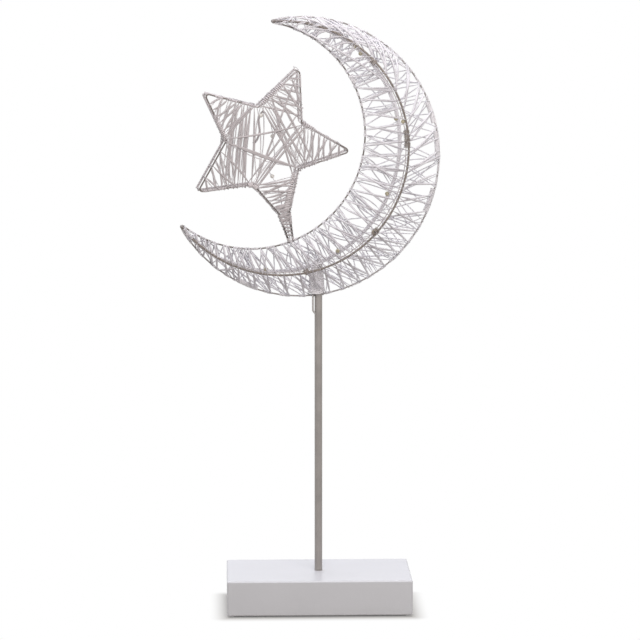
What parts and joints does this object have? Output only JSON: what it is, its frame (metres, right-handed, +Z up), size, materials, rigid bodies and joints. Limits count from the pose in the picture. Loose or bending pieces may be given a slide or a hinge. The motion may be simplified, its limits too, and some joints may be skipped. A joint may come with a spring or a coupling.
{
  "type": "crescent and star table ornament",
  "caption": "Thread-wound wire crescent with a thread-wound star in its mouth, lit by small lamps, on a thin post in a flat block with a battery box under it.",
  "frame": {"origin": "centre of the resting face, under the middle of the block and the post's axis", "axes": "+Z up along the post, +X to the right and -Y to the front as the picture shows the ornament"},
  "size_m": [0.1699, 0.07, 0.3885],
  "materials": {
    "painted_wood": "white paint, satin",
    "felt": "pressed felt",
    "painted_tube": "warm grey paint, satin",
    "plated_steel": "zinc plate",
    "frame_wire": "dark grey wire, satin",
    "thread": "spun paper thread, matt",
    "lead_jacket": "soft clear-white jacket",
    "lamp_wire": "fine varnished wire",
    "lamp_bead": "clear resin bead over a chip",
    "box_plastic": "moulded, fine grain",
    "cell_jacket": "plain printed jacket without text",
    "contact_metal": "nickel plate",
    "black_plastic": "moulded"
  },
  "bodies": {
    "ornament": {"base_block": "painted_wood", "foot_felt": "felt", "post_tube": "painted_tube", "foot_plate": "plated_steel", "plate_screws": "plated_steel", "outer_wire": "frame_wire", "inner_wire": "frame_wire", "front_spine": "frame_wire", "back_spine": "frame_wire", "tip_welds": "frame_wire", "spine_bar": "frame_wire", "frame_welds": "frame_wire", "star_front_wire": "frame_wire", "star_back_wire": "frame_wire", "star_spacers": "frame_wire", "stem_welds": "frame_wire", "crescent_winding": "thread", "star_winding": "thread", "lamp_lead": "lead_jacket", "splice_sleeve": "lead_jacket", "crescent_lamp_wire": "lamp_wire", "crescent_lamps": "lamp_bead", "star_lamp_wire": "lamp_wire", "star_lamps": "lamp_bead", "battery_box": "box_plastic", "box_screws": "plated_steel", "cells": "cell_jacket", "link_contact": "contact_metal", "end_contacts": "contact_metal", "contact_springs": "contact_metal", "switch_body": "contact_metal"},
    "door": {"battery_door": "box_plastic"},
    "switch": {"switch_slider": "black_plastic", "switch_knob": "black_plastic"}
  },
  "joints": [
    {"name": "door_slide", "type": "slide", "parent": "ornament", "child": "door", "axis": [-1, 0, 0], "range_m": [0, 0.008]},
    {"name": "knob_slide", "type": "slide", "parent": "ornament", "child": "switch", "axis": [0, 1, 0], "range_m": [0, 0.003]}
  ]
}
